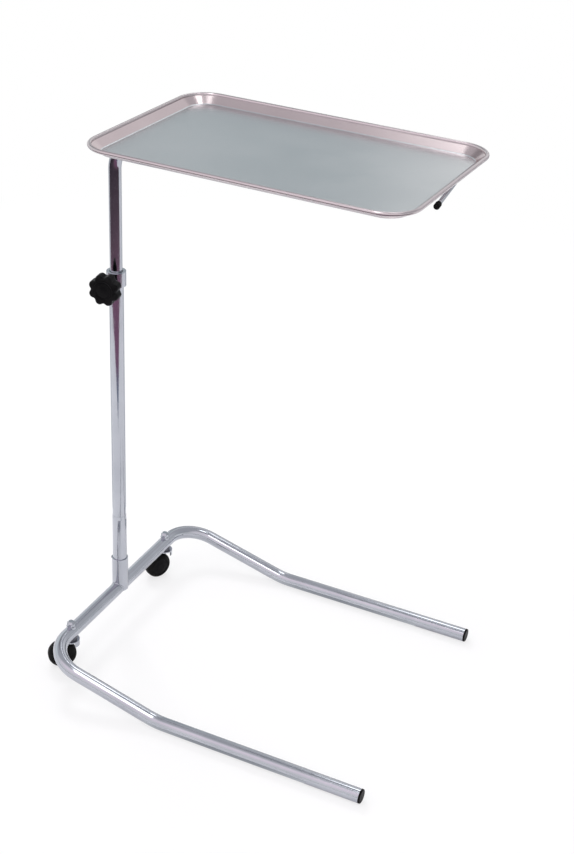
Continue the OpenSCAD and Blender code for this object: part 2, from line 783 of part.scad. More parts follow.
crossbar_tube();
leg_bow(left);  // leg_bow_left
leg_bow(right);  // leg_bow_right
leg_tube(left);  // leg_tube_left
leg_tube(right);  // leg_tube_right
leg_plug(left);  // leg_plug_left
leg_plug(right);  // leg_plug_right
post_socket();
socket_screw();
post_sleeve();
lower_post();
clamp_collar();
collar_bush();
clamp_pad();
knob_stud();
clamp_knob();
glide_plug();
upper_post();
arm_plug();
cradle_rod();
cradle_far_bar();
cradle_brace();
cradle_cap_front(near_bar_x);  // cradle_cap_near
cradle_cap_front(brace_x);  // cradle_cap_brace
cradle_cap_far();
cradle_pad(near_bar_x, left);  // cradle_pad_near_left
cradle_pad(near_bar_x, right);  // cradle_pad_near_right
cradle_pad(brace_x, left);  // cradle_pad_brace_left
cradle_pad(brace_x, right);  // cradle_pad_brace_right
tray();
caster_washer(left);  // caster_left_washer
caster_nut(left);  // caster_left_nut
caster_stem(left);  // caster_left_stem
caster_race(left);  // caster_left_race
caster_fork(left);  // caster_left_fork
caster_axle(left);  // caster_left_axle
caster_axle_nut(left);  // caster_left_axle_nut
caster_hub(left);  // caster_left_hub
caster_hub_cap(left);  // caster_left_hub_cap
caster_tyre(left);  // caster_left_tyre
caster_washer(right);  // caster_right_washer
caster_nut(right);  // caster_right_nut
caster_stem(right);  // caster_right_stem
caster_race(right);  // caster_right_race
caster_fork(right);  // caster_right_fork
caster_axle(right);  // caster_right_axle
caster_axle_nut(right);  // caster_right_axle_nut
caster_hub(right);  // caster_right_hub
caster_hub_cap(right);  // caster_right_hub_cap
caster_tyre(right);  // caster_right_tyre
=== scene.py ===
import json
import math

import bmesh
import bpy
from mathutils import Matrix, Vector


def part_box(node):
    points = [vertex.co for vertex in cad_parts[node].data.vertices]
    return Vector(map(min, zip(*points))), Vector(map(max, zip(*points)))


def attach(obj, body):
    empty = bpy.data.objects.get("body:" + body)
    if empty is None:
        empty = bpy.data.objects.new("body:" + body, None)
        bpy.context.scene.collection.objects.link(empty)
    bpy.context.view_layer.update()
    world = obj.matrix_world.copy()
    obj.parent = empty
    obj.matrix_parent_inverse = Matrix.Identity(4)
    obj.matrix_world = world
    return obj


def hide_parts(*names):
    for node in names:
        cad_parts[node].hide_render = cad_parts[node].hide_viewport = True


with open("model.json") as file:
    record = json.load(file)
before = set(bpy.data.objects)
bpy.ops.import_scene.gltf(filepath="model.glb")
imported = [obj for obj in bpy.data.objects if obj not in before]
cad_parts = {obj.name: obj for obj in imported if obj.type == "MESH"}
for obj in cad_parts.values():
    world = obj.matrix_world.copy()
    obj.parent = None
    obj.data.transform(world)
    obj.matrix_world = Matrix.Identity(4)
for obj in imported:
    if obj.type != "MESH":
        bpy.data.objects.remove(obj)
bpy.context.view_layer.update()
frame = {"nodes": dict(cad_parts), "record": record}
nodes = frame["nodes"]

# Photo frame and the camera that was fitted to it, with its place measured from the foot of the post
PHOTO_H = 854
FOCAL_PX = 1506.5
SENSOR_MM = 36
CLIP_END = 100
CAMERA_YAW = math.radians(-24.565)
CAMERA_PITCH = math.radians(28.943)
CAMERA_ROLL = math.radians(-2.807)
CAMERA_FROM_POST = Vector((1.1144, -1.7923, 1.5407))

# Sizes that the boxes of the nodes don't give, in metres
KNEE_X = 0.199
KNEE_R = 0.110
MAST_BEND_R = 0.055
MAST_TURN = math.radians(-1.4)
TUBE_WALL = 0.0015
TRAY_L = 0.486
TRAY_W = 0.321
TRAY_CORNER_R = 0.048
TRAY_SHEET = 0.001
BEAD_D = 0.006
TRAY_FLARE = 0.015
TRAY_FOLD_R = 0.005
CLAMP_TURN = math.radians(8)
KNOB_R = 0.0245
KNOB_LOBES = 8
FLUTE_R = 0.0055
FLUTE_DEPTH = 0.004
KNOB_NECK_R = 0.011
KNOB_NECK_L = 0.004
KNOB_T = 0.020
KNOB_EDGE_R = 0.0045
KNOB_NECK_BLEND = 0.001
WELD_R = 0.0012
WELD_RIPPLE = 0.12
WELD_PITCH = 2.1

# Radius and height, from the knob's face, of the shallow dish and the button in it
KNOB_DISH = (
    (0.0155, 0.0),
    (0.0150, -0.0004),
    (0.0145, -0.0010),
    (0.0100, -0.0010),
    (0.0095, -0.0006),
    (0.0085, -0.0002),
    (0.0, 0.0),
)

# Spans of a noise texture's values that a roughness and a colour follow
VALUE_SPAN = (0.3, 0.7)
COLOUR_SPAN = (0.35, 0.65)

# Floor and wall of the stage, in metres, with the floor's share of glow to the camera and in metal
CAMERA_GLOW = 0.70
METAL_GLOW = 0.1
GLOW_FADE = (0.7, 2.2)
FLOOR_HALF = 14.0
BACKDROP_R = 13.5
BACKDROP_H = 3.4

# Places of the lamps and cards, in metres, and the stretch over which a card's colours fade
LAMP_Z = 2.85
CARD_LIFT = 0.002
CARD_FAR = 4.5
NEAR_FADE = (0.72, 2.4)
FAR_FADE = (0.35, 2.0)
FRONT_X = (-3.2, 1.0)
FRONT_Y = (-4.2, -1.7)
EDGE_START = (-6.0, 7.0)
EDGE_END = (8.0, 7.0)
EDGE_Z = (0.0, 1.6)
EDGE_FADE = (-4.5, 6.5)
CORNER_START = (-1.5, 0.6)
CORNER_END = (-1.5, 1.6)
CORNER_Z = (1.6, 2.75)
# Span along x and width of the painted contact shadow strips beside the legs
SHADE_X = (-0.08, 0.2)
SHADE_W = 0.027

# Edges of the two floor cards: distance from the post, and degrees from the camera's side
NEAR_LEFT = [(0.72, -1), (0.80, -10), (0.93, -23), (1.10, -42), (1.29, -70), (1.55, -112), (CARD_FAR, -112)]
NEAR_RIGHT = [(0.72, 1), (0.80, 10), (0.93, 20), (1.10, 30), (1.29, 42), (1.55, 72), (CARD_FAR, 72)]
FAR_LEFT = [(0.35, 122), (CARD_FAR, 122)]
FAR_RIGHT = [(0.35, 238), (CARD_FAR, 238)]

# Colours of the cards, and of the dome from its left side to its right, with their places in the fade
NEAR_STOPS = (
    (0.0, (0.24, 0.28, 0.37)),
    (0.10, (0.22, 0.26, 0.35)),
    (0.14, (0.28, 0.13, 0.22)),
    (0.38, (0.27, 0.13, 0.21)),
    (0.52, (0.18, 0.11, 0.145)),
    (0.68, (0.11, 0.075, 0.095)),
    (1.0, (0.06, 0.045, 0.06)),
)
FAR_STOPS = ((0.0, (0.72, 0.74, 0.78)), (1.0, (0.60, 0.62, 0.66)))
FRONT_STOPS = ((0.0, (1.22, 1.06, 1.16)), (1.0, (1.25, 1.12, 1.2)))
EDGE_STOPS = ((0.0, (0.30, 0.30, 0.31)), (0.5, (0.30, 0.30, 0.31)), (1.0, (0.55, 0.56, 0.58)))
CORNER_COLOUR = (0.31, 0.30, 0.32)
# Colours of the painted contact shadow, darkest along the middle of each leg's flat run
SHADE_STOPS = (
    (0.0, (0.85, 0.85, 0.86)),
    (0.3, (0.52, 0.53, 0.55)),
    (0.7, (0.52, 0.53, 0.55)),
    (1.0, (0.85, 0.85, 0.86)),
)
DOME_STOPS = (
    (0.0, (0.92, 0.96, 0.98)),
    (0.19, (0.92, 0.96, 0.98)),
    (0.24, (0.60, 0.63, 0.65)),
    (0.27, (0.56, 0.61, 0.63)),
    (0.315, (0.43, 0.49, 0.515)),
    (0.36, (1.0, 1.0, 1.0)),
    (0.5, (0.96, 0.96, 0.98)),
    (0.62, (0.90, 0.89, 0.92)),
    (0.74, (0.66, 0.67, 0.70)),
    (1.0, (0.54, 0.55, 0.58)),
)

# Colours of the dome overhead and behind the camera, and where they begin and are full along z and y
DOME_TOP = (0.60, 0.60, 0.635)
DOME_TOP_FADE = (0.58, 0.68)
DOME_FRONT = (1.08, 1.01, 1.06)
DOME_FRONT_FADE = (-0.1, -0.45)


def centre_of(node):
    low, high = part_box(node)
    return (low + high) / 2


def size_of(node):
    low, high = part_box(node)
    return high - low


post_axis = centre_of("lower_post").to_2d().to_3d()
base_tube_r = size_of("crossbar_tube").x / 2
leg_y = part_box("leg_bow_left")[1].y - base_tube_r


# Materials
def new_material(name, colour, metallic, roughness):
    mat = bpy.data.materials.new(name)
    mat.use_nodes = True
    shader = mat.node_tree.nodes["Principled BSDF"]
    shader.inputs["Base Color"].default_value = (*colour, 1)
    shader.inputs["Metallic"].default_value = metallic
    shader.inputs["Roughness"].default_value = roughness
    return mat, mat.node_tree, shader


def add_noise(tree, scale, detail, stretch=(1, 1, 1)):
    coords = tree.nodes.new("ShaderNodeTexCoord")
    mapping = tree.nodes.new("ShaderNodeMapping")
    mapping.inputs["Scale"].default_value = stretch
    noise = tree.nodes.new("ShaderNodeTexNoise")
    noise.inputs["Scale"].default_value = scale
    noise.inputs["Detail"].default_value = detail
    tree.links.new(coords.outputs["Object"], mapping.inputs["Vector"])
    tree.links.new(mapping.outputs["Vector"], noise.inputs["Vector"])
    return noise.outputs["Fac"]


def vary_value(tree, source, low, high, socket):
    spread = tree.nodes.new("ShaderNodeMapRange")
    spread.inputs["From Min"].default_value = VALUE_SPAN[0]
    spread.inputs["From Max"].default_value = VALUE_SPAN[1]
    spread.inputs["To Min"].default_value = low
    spread.inputs["To Max"].default_value = high
    tree.links.new(source, spread.inputs["Value"])
    tree.links.new(spread.outputs["Result"], socket)


def vary_colour(tree, source, low, high, socket):
    ramp = tree.nodes.new("ShaderNodeValToRGB")
    for element, place, colour in zip(ramp.color_ramp.elements, COLOUR_SPAN, (low, high)):
        element.position = place
        element.color = (*colour, 1)
    tree.links.new(source, ramp.inputs["Fac"])
    tree.links.new(ramp.outputs["Color"], socket)


def add_bump(tree, source, strength, distance, shader):
    bump = tree.nodes.new("ShaderNodeBump")
    bump.inputs["Strength"].default_value = strength
    bump.inputs["Distance"].default_value = distance
    tree.links.new(source, bump.inputs["Height"])
    tree.links.new(bump.outputs["Normal"], shader.inputs["Normal"])


def chrome_material():
    mat, tree, shader = new_material("polished_chrome", (0.47, 0.49, 0.53), 1.0, 0.1)
    vary_value(tree, add_noise(tree, 60, 4), 0.07, 0.14, shader.inputs["Roughness"])
    tone = add_noise(tree, 14, 3)
    vary_colour(tree, tone, (0.44, 0.46, 0.50), (0.50, 0.52, 0.56), shader.inputs["Base Color"])
    add_bump(tree, add_noise(tree, 220, 2), 0.02, 0.0004, shader)
    return mat


def tray_material(name, low, high):
    mat, tree, shader = new_material(name, high, 1.0, 0.22)
    grain = add_noise(tree, 90, 6, (1, 22, 22))
    vary_value(tree, grain, 0.20, 0.26, shader.inputs["Roughness"])
    vary_colour(tree, add_noise(tree, 9, 4), low, high, shader.inputs["Base Color"])
    add_bump(tree, grain, 0.02, 0.0002, shader)
    return mat


def zinc_material():
    mat, tree, shader = new_material("bright_zinc", (0.60, 0.61, 0.63), 1.0, 0.3)
    blotch = add_noise(tree, 160, 4)
    vary_value(tree, blotch, 0.22, 0.38, shader.inputs["Roughness"])
    vary_colour(tree, blotch, (0.52, 0.53, 0.56), (0.66, 0.67, 0.68), shader.inputs["Base Color"])
    add_bump(tree, add_noise(tree, 900, 2), 0.1, 0.0002, shader)
    return mat


def dark_steel_material():
    mat, tree, shader = new_material("dark_race_steel", (0.16, 0.16, 0.18), 1.0, 0.4)
    blotch = add_noise(tree, 200, 4)
    vary_value(tree, blotch, 0.32, 0.5, shader.inputs["Roughness"])
    vary_colour(tree, blotch, (0.12, 0.12, 0.14), (0.2, 0.2, 0.22), shader.inputs["Base Color"])
    return mat


def moulded_material(name, low, high, roughness, grain, depth):
    """Black plastic or rubber, with the scale of its moulded grain and the grain's depth in metres."""
    mat, tree, shader = new_material(name, high, 0.0, roughness)
    shader.inputs["Specular IOR Level"].default_value = 0.06
    vary_colour(tree, add_noise(tree, 70, 4), low, high, shader.inputs["Base Color"])
    texture = add_noise(tree, grain, 3)
    smoother, rougher = roughness - 0.06, roughness + 0.08
    vary_value(tree, texture, smoother, rougher, shader.inputs["Roughness"])
    add_bump(tree, texture, 0.25, depth, shader)
    return mat


def floor_material():
    """Pale floor that glows to the camera, fully so away from the object, and a little in metal."""
    mat, tree, shader = new_material("pale_floor", (0.95, 0.95, 0.955), 0.0, 0.9)
    shader.inputs["Specular IOR Level"].default_value = 0.0
    glow = tree.nodes.new("ShaderNodeEmission")
    glow.inputs["Color"].default_value = (1, 1, 1, 1)
    reach = tree.nodes.new("ShaderNodeVectorMath")
    reach.operation = "LENGTH"
    tree.links.new(tree.nodes.new("ShaderNodeTexCoord").outputs["Object"], reach.inputs[0])
    fade = tree.nodes.new("ShaderNodeMapRange")
    fade.inputs["From Min"].default_value = GLOW_FADE[0]
    fade.inputs["From Max"].default_value = GLOW_FADE[1]
    fade.inputs["To Min"].default_value = CAMERA_GLOW
    tree.links.new(reach.outputs["Value"], fade.inputs["Value"])
    path = tree.nodes.new("ShaderNodeLightPath")
    share = tree.nodes.new("ShaderNodeMath")
    share.operation = "MULTIPLY"
    tree.links.new(path.outputs["Is Camera Ray"], share.inputs[0])
    tree.links.new(fade.outputs["Result"], share.inputs[1])
    for ray in ("Is Glossy Ray", "Is Transmission Ray"):
        part = tree.nodes.new("ShaderNodeMath")
        part.operation = "MULTIPLY_ADD"
        part.inputs[1].default_value = METAL_GLOW
        tree.links.new(path.outputs[ray], part.inputs[0])
        tree.links.new(share.outputs["Value"], part.inputs[2])
        share = part
    mix = tree.nodes.new("ShaderNodeMixShader")
    tree.links.new(share.outputs["Value"], mix.inputs["Fac"])
    tree.links.new(shader.outputs["BSDF"], mix.inputs[1])
    tree.links.new(glow.outputs["Emission"], mix.inputs[2])
    tree.links.new(mix.outputs["Shader"], tree.nodes["Material Output"].inputs["Surface"])
    return mat


# Mesh helpers
def finish_mesh(name, bm, mat, body, replaced=(), sharp=math.radians(35)):
    bmesh.ops.recalc_face_normals(bm, faces=bm.faces)
    mesh = bpy.data.meshes.new(name)
    bm.to_mesh(mesh)
    bm.free()
    for face in mesh.polygons:
        face.use_smooth = True
    mesh.set_sharp_from_angle(angle=sharp)
    mesh.materials.append(mat)
    piece = bpy.data.objects.new(name, mesh)
    bpy.context.scene.collection.objects.link(piece)
    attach(piece, body)
    if replaced:
        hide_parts(*replaced)
    return piece


def bridge(bm, ring_a, ring_b):
    count = len(ring_a)
    for i in range(count):
        j = (i + 1) % count
        bm.faces.new((ring_a[i], ring_a[j], ring_b[j], ring_b[i]))


def filleted(corners, radii, step=math.radians(3)):
    """Points along lines through the corners, with each inner corner rounded to its radius."""
    points = [corners[0]]
    for before, corner, after, radius in zip(corners, corners[1:], corners[2:], radii):
        into = (corner - before).normalized()
        out = (after - corner).normalized()
        turn = into.angle(out)
        tangent = radius * math.tan(turn / 2)
        side = (out - into * into.dot(out)).normalized()
        start = corner - into * tangent
        count = max(2, round(turn / step))
        for i in range(count + 1):
            a = turn * i / count
            points.append(start + into * radius * math.sin(a) + side * radius * (1 - math.cos(a)))
    points.append(corners[-1])
    return points


def tube_mesh(path, radius, wall, sides=64):
    """A round tube along a path, with its wall marked in the flat face that closes each end."""
    bm = bmesh.new()
    tangents = []
    for i in range(len(path)):
        ahead = path[min(i + 1, len(path) - 1)]
        behind = path[max(i - 1, 0)]
        tangents.append((ahead - behind).normalized())
    across = tangents[0].orthogonal().normalized()

    def ring(centre, tangent, r):
        other = tangent.cross(across)
        angles = [2 * math.pi * k / sides for k in range(sides)]
        return [bm.verts.new(centre + r * (math.cos(a) * across + math.sin(a) * other)) for a in angles]

    rows = []
    for here, tangent in zip(path, tangents):
        across = (across - tangent * across.dot(tangent)).normalized()
        rows.append(ring(here, tangent, radius))
    for a, b in zip(rows, rows[1:]):
        bridge(bm, a, b)
    for row, here in ((rows[0], path[0]), (rows[-1], path[-1])):
        inner = [bm.verts.new(here + (v.co - here) * (1 - wall / radius)) for v in row]
        bridge(bm, row, inner)
        bm.faces.new(inner)
    return bm


def arc(centre, radius, start, end, count):
    """Points (radius, height) on an arc, with angles in degrees."""
    angles = [math.radians(start + (end - start) * i / count) for i in range(count + 1)]
    return [(centre[0] + radius * math.cos(a), centre[1] + radius * math.sin(a)) for a in angles]


# Pieces
def base_tube(mat):
    """The whole base as one bent tube, from the end of one leg round to the end of the other."""
    bar_z = centre_of("crossbar_tube").z
    corner_r = leg_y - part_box("crossbar_tube")[1].y
    leg_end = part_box("leg_tube_left")[1].x
    corners = [
        Vector((leg_end, -leg_y, base_tube_r)),
        post_axis + Vector((KNEE_X, -leg_y, base_tube_r)),
        post_axis + Vector((0, -leg_y, bar_z)),
        post_axis + Vector((0, leg_y, bar_z)),
        post_axis + Vector((KNEE_X, leg_y, base_tube_r)),
        Vector((leg_end, leg_y, base_tube_r)),
    ]
    path = filleted(corners, (KNEE_R, corner_r, corner_r, KNEE_R))
    bm = tube_mesh(path, base_tube_r, TUBE_WALL)
    replaced = ("crossbar_tube", "leg_bow_left", "leg_bow_right", "leg_tube_left", "leg_tube_right")
    return finish_mesh("base_tube_bent", bm, mat, "base", replaced)


def mast_tube(mat):
    """The upper post with its bend and arm."""
    r = size_of("glide_plug").x / 2
    low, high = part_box("upper_post")
    along = Matrix.Rotation(MAST_TURN, 3, "Z") @ Vector((1, 0, 0))
    reach = (high.x - post_axis.x - r * abs(math.sin(MAST_TURN))) / math.cos(MAST_TURN)
    top = post_axis + Vector((0, 0, high.z - r))
    corners = [post_axis + Vector((0, 0, low.z)), top, top + along * reach]
    bm = tube_mesh(filleted(corners, (MAST_BEND_R,)), r, TUBE_WALL)
    return finish_mesh("upper_post_bent", bm, mat, "mast", ("upper_post",))


def tray_profile():
    """Section of fold, wall and bead, from the floor's top round to its underside.

    Distances are from the centre of the tray's corner, and heights from its underside.
    """
    fold_steps, bead_steps = 10, 28
    height = size_of("tray").z
    bead_r = BEAD_D / 2
    bead = (TRAY_CORNER_R - bead_r, height - bead_r)
    lean = math.degrees(math.atan2(bead[1], TRAY_FLARE))
    fold_q = bead[0] - TRAY_FLARE - TRAY_FOLD_R * math.tan(math.radians(lean) / 2)
    fold = (fold_q, TRAY_FOLD_R)
    inner_hit = math.degrees(math.acos(TRAY_SHEET / bead_r))
    return (
        arc(fold, TRAY_FOLD_R - TRAY_SHEET, -90, lean - 90, fold_steps)
        + arc(bead, bead_r, lean + 90 + inner_hit, lean - 180, bead_steps)
        + arc(fold, TRAY_FOLD_R, lean - 90, -90, fold_steps)
    )


def rounded_loop(half_x, half_y, q, steps=20):
    """Points round a rectangle with corner centres at half_x, half_y and corner radius q."""
    points = []
    for quarter, (sx, sy) in enumerate(((1, 1), (-1, 1), (-1, -1), (1, -1))):
        for i in range(steps + 1):
            a = math.radians(90) * (quarter + i / steps)
            points.append((sx * half_x + q * math.cos(a), sy * half_y + q * math.sin(a)))
    return points


def tray_sheet(mat, wall_painted_reflection_mat, rim_painted_reflection_mat):
    """The tray as one closed sheet, with its own materials on the walls and on the bead, which carry
    painted reflection as pink tints.
    """
    half_x = TRAY_L / 2 - TRAY_CORNER_R
    half_y = TRAY_W / 2 - TRAY_CORNER_R
    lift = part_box("tray")[0].z
    middle = Matrix.Translation((*centre_of("tray").to_2d(), lift))
    place = middle @ Matrix.Rotation(MAST_TURN, 4, "Z")
    bm = bmesh.new()
    rows = [
        [bm.verts.new(place @ Vector((x, y, z))) for x, y in rounded_loop(half_x, half_y, q)]
        for q, z in tray_profile()
    ]
    for a, b in zip(rows, rows[1:]):
        bridge(bm, a, b)
    bm.faces.new(rows[0])
    bm.faces.new(rows[-1])
    # A face that reaches above the fold is the wall's, and one that is all above it the bead's; both take
    # materials with painted reflection
    for face in bm.faces:
        raised = [v.co.z > lift + TRAY_FOLD_R for v in face.verts]
        face.material_index = any(raised) + all(raised)
    piece = finish_mesh("tray_sheet", bm, mat, "tray", ("tray",))
    piece.data.materials.append(wall_painted_reflection_mat)
    piece.data.materials.append(rim_painted_reflection_mat)
    return piece


def knob_outline(count=240):
    """Radius of the lobed outline at each step round the knob, with the lobes' edges softened."""
    pitch = 2 * math.pi / KNOB_LOBES
    centre = KNOB_R + FLUTE_R - FLUTE_DEPTH
    radii = []
    for i in range(count):
        a = 2 * math.pi * i / count
        off = (a + pitch / 2) % pitch - pitch / 2
        reach = FLUTE_R ** 2 - (centre * math.sin(off)) ** 2
        cut = centre * math.cos(off) - math.sqrt(reach) if reach > 0 else KNOB_R
        radii.append(min(KNOB_R, cut))
    width = 4
    window = range(-width, width + 1)
    return [sum(radii[(i + k) % count] for k in window) / len(window) for i in range(count)]


def knob_body(mat):
    """Lobed knob with a neck, rounded edges and a shallow dish with a raised button in its face."""
    out = Vector((math.sin(CLAMP_TURN), -math.cos(CLAMP_TURN), 0))
    across = Vector((math.cos(CLAMP_TURN), math.sin(CLAMP_TURN), 0))
    up = Vector((0, 0, 1))
    low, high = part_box("clamp_knob")
    face = (Vector((0, low.y, 0)) - post_axis).dot(Vector((0, -1, 0)))
    depth = (face - KNOB_R * math.sin(CLAMP_TURN)) / math.cos(CLAMP_TURN)
    foot = post_axis + Vector((0, 0, (low.z + high.z) / 2)) + out * (depth - KNOB_T - KNOB_NECK_L)
    back, front = KNOB_NECK_L, KNOB_NECK_L + KNOB_T
    e = KNOB_EDGE_R
    # Each row is a kind of ring, its inset or for a disc its radius, and its height above the foot
    rows = [
        ("neck", 0.0, 0.0),
        ("neck", 0.0, back - KNOB_NECK_BLEND),
        ("neck", -KNOB_NECK_BLEND, back),
        ("lobed", e, back),
    ]
    steps = 8
    quarter = [math.radians(90 * i / steps) for i in range(steps + 1)]
    rows += [("lobed", e * (1 - math.sin(a)), back + e * (1 - math.cos(a))) for a in quarter[1:]]
    rows += [("lobed", e * (1 - math.cos(a)), front - e * (1 - math.sin(a))) for a in quarter]
    rows += [("disc", r, front + h) for r, h in KNOB_DISH]
    radii = knob_outline()
    bm = bmesh.new()
    rings = []
    for kind, value, height in rows:
        ring = []
        for i, r in enumerate(radii):
            if kind == "neck":
                r = KNOB_NECK_R - value
            elif kind == "lobed":
                r -= value
            else:
                r = value
            a = 2 * math.pi * i / len(radii)
            spoke = math.cos(a) * across + math.sin(a) * up
            ring.append(bm.verts.new(foot + out * height + r * spoke))
            if r == 0:
                break
        rings.append(ring)
    bm.faces.new(rings[0])
    for a, b in zip(rings, rings[1:-1]):
        bridge(bm, a, b)
    tip, rim = rings[-1][0], rings[-2]
    for i in range(len(rim)):
        bm.faces.new((tip, rim[i], rim[(i + 1) % len(rim)]))
    return finish_mesh("clamp_knob_lobed", bm, mat, "knob", ("clamp_knob",))


def socket_weld(mat):
    """Weld bead along the line where the socket meets the crossbar, on both sides."""
    socket_r = size_of("post_socket").x / 2
    bar_z = centre_of("crossbar_tube").z
    steps, sides = 48, 12
    angles = [2 * math.pi * k / sides for k in range(sides)]
    bm = bmesh.new()
    for side in (1, -1):
        path = []
        for i in range(steps + 1):
            x = base_tube_r * math.cos(math.pi * i / steps)
            y = side * math.sqrt(socket_r ** 2 - x ** 2)
            z = bar_z + math.sqrt(max(0, base_tube_r ** 2 - x ** 2))
            path.append(post_axis + Vector((x, y, z)))
        rings = []
        for i, here in enumerate(path):
            along = (path[min(i + 1, steps)] - path[max(i - 1, 0)]).normalized()
            across = along.cross(Vector((0, side, 0))).normalized()
            other = along.cross(across)
            r = WELD_R * (1 + WELD_RIPPLE * math.sin(i * WELD_PITCH))
            spokes = [math.cos(a) * across + math.sin(a) * other for a in angles]
            rings.append([bm.verts.new(here + r * spoke) for spoke in spokes])
        for a, b in zip(rings, rings[1:]):
            bridge(bm, a, b)
        bm.faces.new(rings[0])
        bm.faces.new(rings[-1])
    return finish_mesh("socket_weld", bm, mat, "base")


# Stage, light and camera
def add_panel(name, corners, mat, place=(0, 0, 0)):
    mesh = bpy.data.meshes.new(name)
    mesh.from_pydata([Vector(c) for c in corners], [], [list(range(len(corners)))])
    mesh.materials.append(mat)
    panel = bpy.data.objects.new(name, mesh)
    panel.location = place
    bpy.context.scene.collection.objects.link(panel)
    return panel


def add_card(name, corners, mat, place=(0, 0, 0)):
    """A studio card that only reflections see."""
    card = add_panel(name, corners, mat, place)
    card.visible_camera = False
    card.visible_diffuse = False
    card.visible_shadow = False
    card.visible_transmission = False
    card.visible_volume_scatter = False


def rectangle(x_span, y_span, z):
    (left, right), (near, far) = x_span, y_span
    return [(left, near, z), (right, near, z), (right, far, z), (left, far, z)]


def upright(start, end, z_span):
    """Corners of an upright rectangle over the line from start to end."""
    low, high = z_span
    return [(*start, low), (*end, low), (*end, high), (*start, high)]


def glow_material(name, colour=(1, 1, 1)):
    mat = bpy.data.materials.new(name)
    mat.use_nodes = True
    tree = mat.node_tree
    glow = tree.nodes.new("ShaderNodeEmission")
    glow.inputs["Color"].default_value = (*colour, 1)
    tree.links.new(glow.outputs["Emission"], tree.nodes["Material Output"].inputs["Surface"])
    return mat, tree, glow


def add_backdrop():
    """A low white wall round the floor, which closes the view above its far edge."""
    mat, _, _ = glow_material("backdrop")
    bm = bmesh.new()
    count = 48
    turns = [2 * math.pi * i / count for i in range(count)]
    rings = [
        [bm.verts.new((BACKDROP_R * math.cos(a), BACKDROP_R * math.sin(a), z)) for a in turns]
        for z in (0, BACKDROP_H)
    ]
    bridge(bm, *rings)
    mesh = bpy.data.meshes.new("backdrop")
    bm.to_mesh(mesh)
    bm.free()
    mesh.materials.append(mat)
    wall = bpy.data.objects.new("backdrop", mesh)
    wall.visible_diffuse = False
    wall.visible_shadow = False
    bpy.context.scene.collection.objects.link(wall)


def floor_sector(left, right):
    """An area of floor about the post, with (distance, degrees from the camera's side) down each edge."""
    facing = math.atan2(CAMERA_FROM_POST.y, CAMERA_FROM_POST.x)

    def sweep(start, end, step=8):
        count = max(1, round(abs(end[1] - start[1]) / step))
        return [(start[0], start[1] + (end[1] - start[1]) * i / count) for i in range(1, count)]

    outline = left + sweep(left[-1], right[-1]) + right[::-1] + sweep(right[0], left[0])
    places = [(r, facing + math.radians(turn)) for r, turn in outline]
    return [(r * math.cos(a), r * math.sin(a), CARD_LIFT) for r, a in places]


def colour_band(tree, stops, source):
    ramp = tree.nodes.new("ShaderNodeValToRGB")
    band = ramp.color_ramp
    while len(band.elements) < len(stops):
        band.elements.new(0.5)
    for element, (place, colour) in zip(band.elements, stops):
        element.position = place
        element.color = (*colour, 1)
    tree.links.new(source, ramp.inputs["Fac"])
    return ramp.outputs["Color"]


def scaled(tree, source, fade):
    spread = tree.nodes.new("ShaderNodeMapRange")
    spread.inputs["From Min"].default_value = fade[0]
    spread.inputs["From Max"].default_value = fade[1]
    tree.links.new(source, spread.inputs["Value"])
    return spread.outputs["Result"]


def card_material(name, stops, fade, radial=False):
    """Glowing card whose colour changes along its x, or outward from its origin."""
    mat, tree, glow = glow_material(name)
    coords = tree.nodes.new("ShaderNodeTexCoord").outputs["Object"]
    if radial:
        measure = tree.nodes.new("ShaderNodeVectorMath")
        measure.operation = "LENGTH"
        tree.links.new(coords, measure.inputs[0])
        along = measure.outputs["Value"]
    else:
        measure = tree.nodes.new("ShaderNodeSeparateXYZ")
        tree.links.new(coords, measure.inputs["Vector"])
        along = measure.outputs["X"]
    tree.links.new(colour_band(tree, stops, scaled(tree, along, fade)), glow.inputs["Color"])
    return mat


def build_world():
    """A studio dome, grey overhead, bright behind the camera and shaded from side to side at the back."""
    world = bpy.data.worlds.new("studio")
    bpy.context.scene.world = world
    world.use_nodes = True
    tree = world.node_tree
    coords = tree.nodes.new("ShaderNodeTexCoord")
    split = tree.nodes.new("ShaderNodeSeparateXYZ")
    tree.links.new(coords.outputs["Generated"], split.inputs["Vector"])
    back = tree.nodes["Background"]
    sides = scaled(tree, split.outputs["X"], (-1, 1))
    tree.links.new(colour_band(tree, DOME_STOPS, sides), back.inputs["Color"])
    zones = (
        (DOME_TOP, scaled(tree, split.outputs["Z"], DOME_TOP_FADE)),
        (DOME_FRONT, scaled(tree, split.outputs["Y"], DOME_FRONT_FADE)),
    )
    surface = back.outputs["Background"]
    for colour, share in zones:
        zone = tree.nodes.new("ShaderNodeBackground")
        zone.inputs["Color"].default_value = (*colour, 1)
        mix = tree.nodes.new("ShaderNodeMixShader")
        tree.links.new(share, mix.inputs["Fac"])
        tree.links.new(surface, mix.inputs[1])
        tree.links.new(zone.outputs["Background"], mix.inputs[2])
        surface = mix.outputs["Shader"]
    tree.links.new(surface, tree.nodes["World Output"].inputs["Surface"])


def add_lamp(name, place, target, size, power):
    lamp = bpy.data.lights.new(name, "AREA")
    lamp.shape = "RECTANGLE"
    lamp.size, lamp.size_y = size
    lamp.energy = power
    holder = bpy.data.objects.new(name, lamp)
    holder.location = place
    holder.rotation_euler = (Vector(target) - Vector(place)).to_track_quat("-Z", "Y").to_euler()
    bpy.context.scene.collection.objects.link(holder)
    return holder


